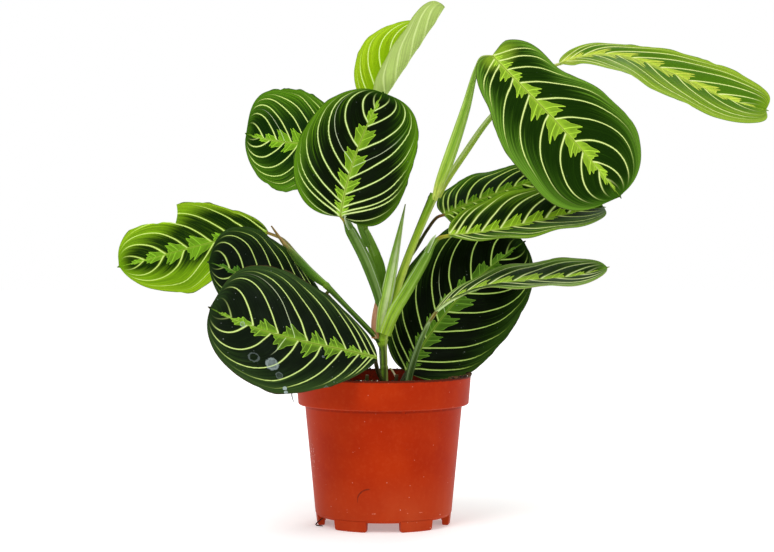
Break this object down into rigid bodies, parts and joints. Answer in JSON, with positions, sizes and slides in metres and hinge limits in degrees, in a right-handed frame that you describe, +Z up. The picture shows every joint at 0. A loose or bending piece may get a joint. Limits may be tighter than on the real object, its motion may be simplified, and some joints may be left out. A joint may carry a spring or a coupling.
{
  "type": "potted prayer plant",
  "caption": "Potted prayer plant (maranta) with broad, patterned oval leaves on arching stalks, standing in a round plastic nursery pot of soil.",
  "frame": {"origin": "centre of the whole plant's footprint box, at the level of the pot's feet, because the pot's axis lies off the middle of the foliage", "axes": "+Z up, +X to the right and -Y to the front, seen from the plant's best side"},
  "size_m": [0.4482, 0.1822, 0.3644],
  "materials": {
    "pot_plastic": "satin",
    "soil": "matte",
    "leaf_dark": "satin",
    "leaf_green": "satin",
    "leaf_lime": "satin",
    "stalk_green": "satin",
    "stalk_pale": "satin",
    "stalk_brown": "satin",
    "sheath_dry": "matte"
  },
  "bodies": {
    "root": {"pot": "pot_plastic", "soil": "soil", "leaf_01_front_left": "leaf_dark", "leaf_02_left": "leaf_dark", "leaf_03_far_left": "leaf_lime", "leaf_04_upper_left": "leaf_green", "leaf_05_upper_middle": "leaf_dark", "leaf_06_young_half_rolled": "leaf_lime", "leaf_07_upper_right": "leaf_green", "leaf_08_far_right": "leaf_lime", "leaf_09_right_back": "leaf_green", "leaf_10_right_middle": "leaf_green", "leaf_11_lower_right": "leaf_dark", "leaf_12_right_front": "leaf_green", "stem_main": "stalk_green", "stem_back": "stalk_green", "spear_new_shoot": "stalk_pale", "petiole_10": "stalk_green", "petiole_05": "stalk_green", "petiole_06": "stalk_green", "petiole_04": "stalk_green", "petiole_07": "stalk_green", "petiole_08": "stalk_green", "petiole_09": "stalk_brown", "petiole_01": "stalk_brown", "petiole_11": "stalk_brown", "petiole_12": "stalk_green", "stem_left": "stalk_green", "sheath_left": "stalk_pale", "petiole_02": "stalk_brown", "petiole_03": "stalk_brown", "dried_sheath": "sheath_dry", "stub_left": "stalk_pale", "stub_right": "stalk_pale"}
  },
  "joints": []
}
